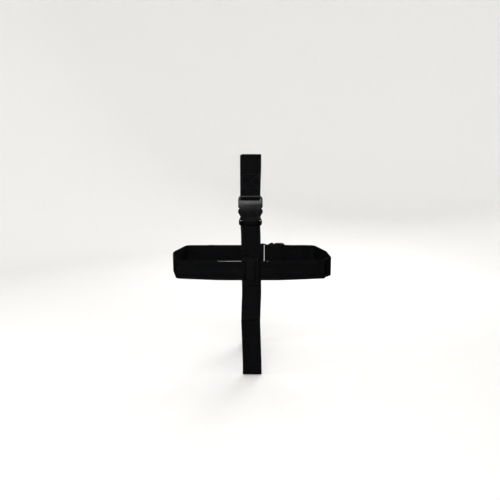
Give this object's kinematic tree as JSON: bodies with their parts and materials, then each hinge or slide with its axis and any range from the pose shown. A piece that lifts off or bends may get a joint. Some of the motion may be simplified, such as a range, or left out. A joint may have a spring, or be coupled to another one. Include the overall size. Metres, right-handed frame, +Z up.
{
  "type": "luggage strap",
  "caption": "Cross luggage strap as worn: an upright and a girth loop of black webbing crossing through a slider, closed by side-release buckles",
  "frame": {"origin": "the middle of the underside of the upright loop, where the strap and the case in it stand", "axes": "+Z up along the upright loop; the crossing, the slider and the upright buckle are on the front at -Y; +X to the right seen from the front"},
  "size_m": [0.4334, 0.2754, 0.5816],
  "materials": {
    "webbing": "woven polypropylene webbing, matt black",
    "buckle_plastic": "moulded acetal, satin black",
    "thread": "polyester sewing thread, black"
  },
  "bodies": {
    "worn_loops": {"upright_webbing_loop": "webbing", "upright_webbing_takeup": "webbing", "upright_box_stitching": "thread", "upright_buckle_socket": "buckle_plastic", "girth_webbing_socket_side": "webbing", "girth_webbing_plug_side": "webbing", "girth_webbing_front_left": "webbing", "girth_webbing_front_right": "webbing", "girth_webbing_takeup": "webbing", "girth_box_stitching": "thread", "girth_buckle_socket": "buckle_plastic"},
    "upright_plug": {"upright_buckle_plug": "buckle_plastic", "upright_webbing_lock_turn": "webbing", "upright_webbing_tail": "webbing", "upright_tail_stitching": "thread"},
    "upright_prong_left": {"upright_buckle_prong_left": "buckle_plastic"},
    "upright_prong_right": {"upright_buckle_prong_right": "buckle_plastic"},
    "girth_plug": {"girth_buckle_plug": "buckle_plastic", "girth_webbing_lock_turn": "webbing", "girth_webbing_tail": "webbing", "girth_tail_stitching": "thread"},
    "girth_prong_left": {"girth_buckle_prong_left": "buckle_plastic"},
    "girth_prong_right": {"girth_buckle_prong_right": "buckle_plastic"},
    "cross_slider": {"cross_slider": "buckle_plastic", "girth_webbing_threaded": "webbing"}
  },
  "joints": [
    {"name": "upright_plug_release", "type": "slide", "parent": "worn_loops", "child": "upright_plug", "axis": [0, 0, -1], "range_m": [0, 0.04], "deforming": ["upright_webbing_takeup", "upright_buckle_prong_left", "upright_buckle_prong_right"]},
    {"name": "upright_prong_left_squeeze", "type": "hinge", "parent": "upright_plug", "child": "upright_prong_left", "pos_m": [-0.021, -0.1301, 0.423], "axis": [0, 1, 0], "range_deg": [0, 7], "stiffness_Nm_per_rad": 0.4},
    {"name": "upright_prong_right_squeeze", "type": "hinge", "parent": "upright_plug", "child": "upright_prong_right", "pos_m": [0.021, -0.1301, 0.423], "axis": [0, -1, 0], "range_deg": [0, 7], "stiffness_Nm_per_rad": 0.4},
    {"name": "girth_plug_release", "type": "slide", "parent": "worn_loops", "child": "girth_plug", "axis": [-1, 0, 0], "range_m": [0, 0.04], "deforming": ["girth_webbing_takeup", "girth_buckle_prong_left", "girth_buckle_prong_right"]},
    {"name": "girth_prong_left_squeeze", "type": "hinge", "parent": "girth_plug", "child": "girth_prong_left", "pos_m": [0.049, 0.1319, 0.265], "axis": [0, -1, 0], "range_deg": [0, 7], "stiffness_Nm_per_rad": 0.4},
    {"name": "girth_prong_right_squeeze", "type": "hinge", "parent": "girth_plug", "child": "girth_prong_right", "pos_m": [0.049, 0.1319, 0.307], "axis": [0, 1, 0], "range_deg": [0, 7], "stiffness_Nm_per_rad": 0.4},
    {"name": "cross_slider_shift", "type": "slide", "parent": "worn_loops", "child": "cross_slider", "axis": [1, 0, 0], "range_m": [-0.02, 0.02], "deforming": ["girth_webbing_front_left", "girth_webbing_front_right"]}
  ]
}
